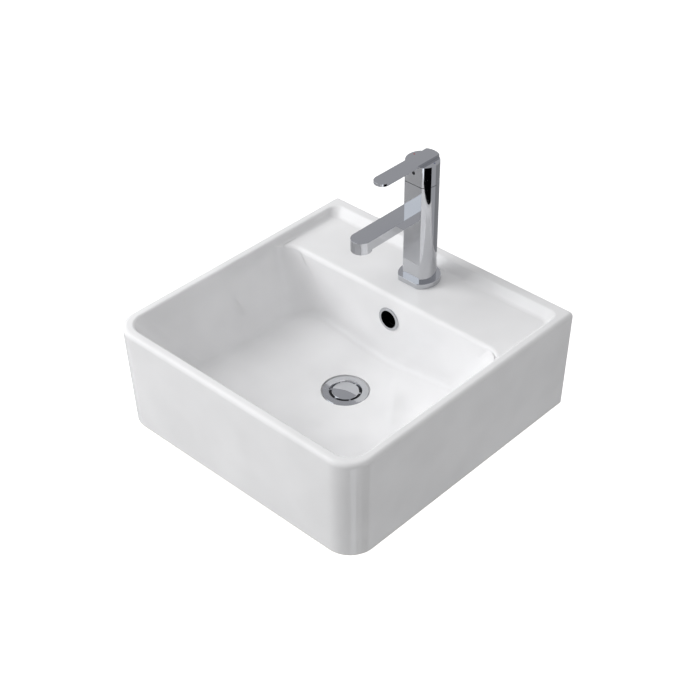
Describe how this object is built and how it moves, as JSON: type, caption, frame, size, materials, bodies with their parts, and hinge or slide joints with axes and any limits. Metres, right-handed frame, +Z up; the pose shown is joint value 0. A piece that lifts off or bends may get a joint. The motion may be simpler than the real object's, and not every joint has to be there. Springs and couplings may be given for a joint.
{
  "type": "wall-hung washbasin with mixer tap",
  "caption": "Square wall-hung ceramic basin with raised rim, tap deck, overflow and lift-up waste plug, fitted with a flat-bar single-lever mixer tap.",
  "frame": {"origin": "on the basin's flat back face, midway between the two wall-fixing holes", "axes": "+X along the wall to the user's right, +Y into the wall, +Z up"},
  "size_m": [0.4196, 0.4198, 0.3693],
  "materials": {
    "glaze": "gloss white glaze",
    "chrome": "polished chrome plate",
    "brass": "turned brass",
    "steel": "machined stainless steel",
    "black_rubber": "matte black",
    "white_plastic": "moulded white",
    "black_plastic": "moulded black",
    "grey_plastic": "moulded grey",
    "disc_ceramic": "lapped alumina",
    "red_mark": "red enamel",
    "blue_mark": "blue enamel"
  },
  "bodies": {
    "basin": {"basin": "glaze", "overflow_ring": "chrome", "waste_body": "chrome", "waste_top_gasket": "black_rubber", "waste_bottom_gasket": "black_rubber", "waste_slip_washer": "white_plastic", "waste_nut": "brass", "plug_latch": "brass", "latch_spring": "steel", "tap_base_ring": "chrome", "tap_base_seal": "black_rubber", "tap_body": "chrome", "spout": "chrome", "aerator_housing": "chrome", "aerator_insert": "grey_plastic", "aerator_seal": "black_rubber", "cartridge_base": "black_plastic", "port_seals": "black_rubber", "fixed_disc": "disc_ceramic", "cartridge_body": "grey_plastic", "cartridge_nut": "brass", "cartridge_cover": "chrome", "fixing_stud": "steel", "clamp_rubber": "black_rubber", "clamp_plate": "steel", "fixing_nut": "brass", "wall_sleeves": "white_plastic", "wall_washers": "white_plastic"},
    "turret": {"cartridge_turret": "white_plastic", "pivot_pin": "steel"},
    "lever": {"handle": "chrome", "spindle": "brass", "handle_grub_screw": "steel", "handle_cap": "black_plastic", "hot_mark": "red_mark", "cold_mark": "blue_mark"},
    "disc": {"moving_disc": "disc_ceramic", "disc_carrier": "black_plastic"},
    "plug": {"waste_plug": "chrome", "plug_seal": "black_rubber", "plug_stem": "brass"}
  },
  "joints": [
    {"name": "handle_turn", "type": "hinge", "parent": "basin", "child": "turret", "pos_m": [0, -0.0605, 0.204], "axis": [0, 0, 1], "range_deg": [-45, 45]},
    {"name": "handle_lift", "type": "hinge", "parent": "turret", "child": "lever", "pos_m": [0, -0.0605, 0.204], "axis": [-1, 0, 0], "range_deg": [0, 20]},
    {"name": "disc_slide", "type": "slide", "parent": "turret", "child": "disc", "axis": [0, -1, 0], "range_m": [0, 0.0046]},
    {"name": "plug_slide", "type": "slide", "parent": "basin", "child": "plug", "axis": [0, 0, 1], "range_m": [0, 0.009], "deforming": ["latch_spring"]}
  ],
  "couplings": [
    {"joint": "disc_slide", "follows": "handle_lift", "m_per_rad": 0.0129}
  ]
}
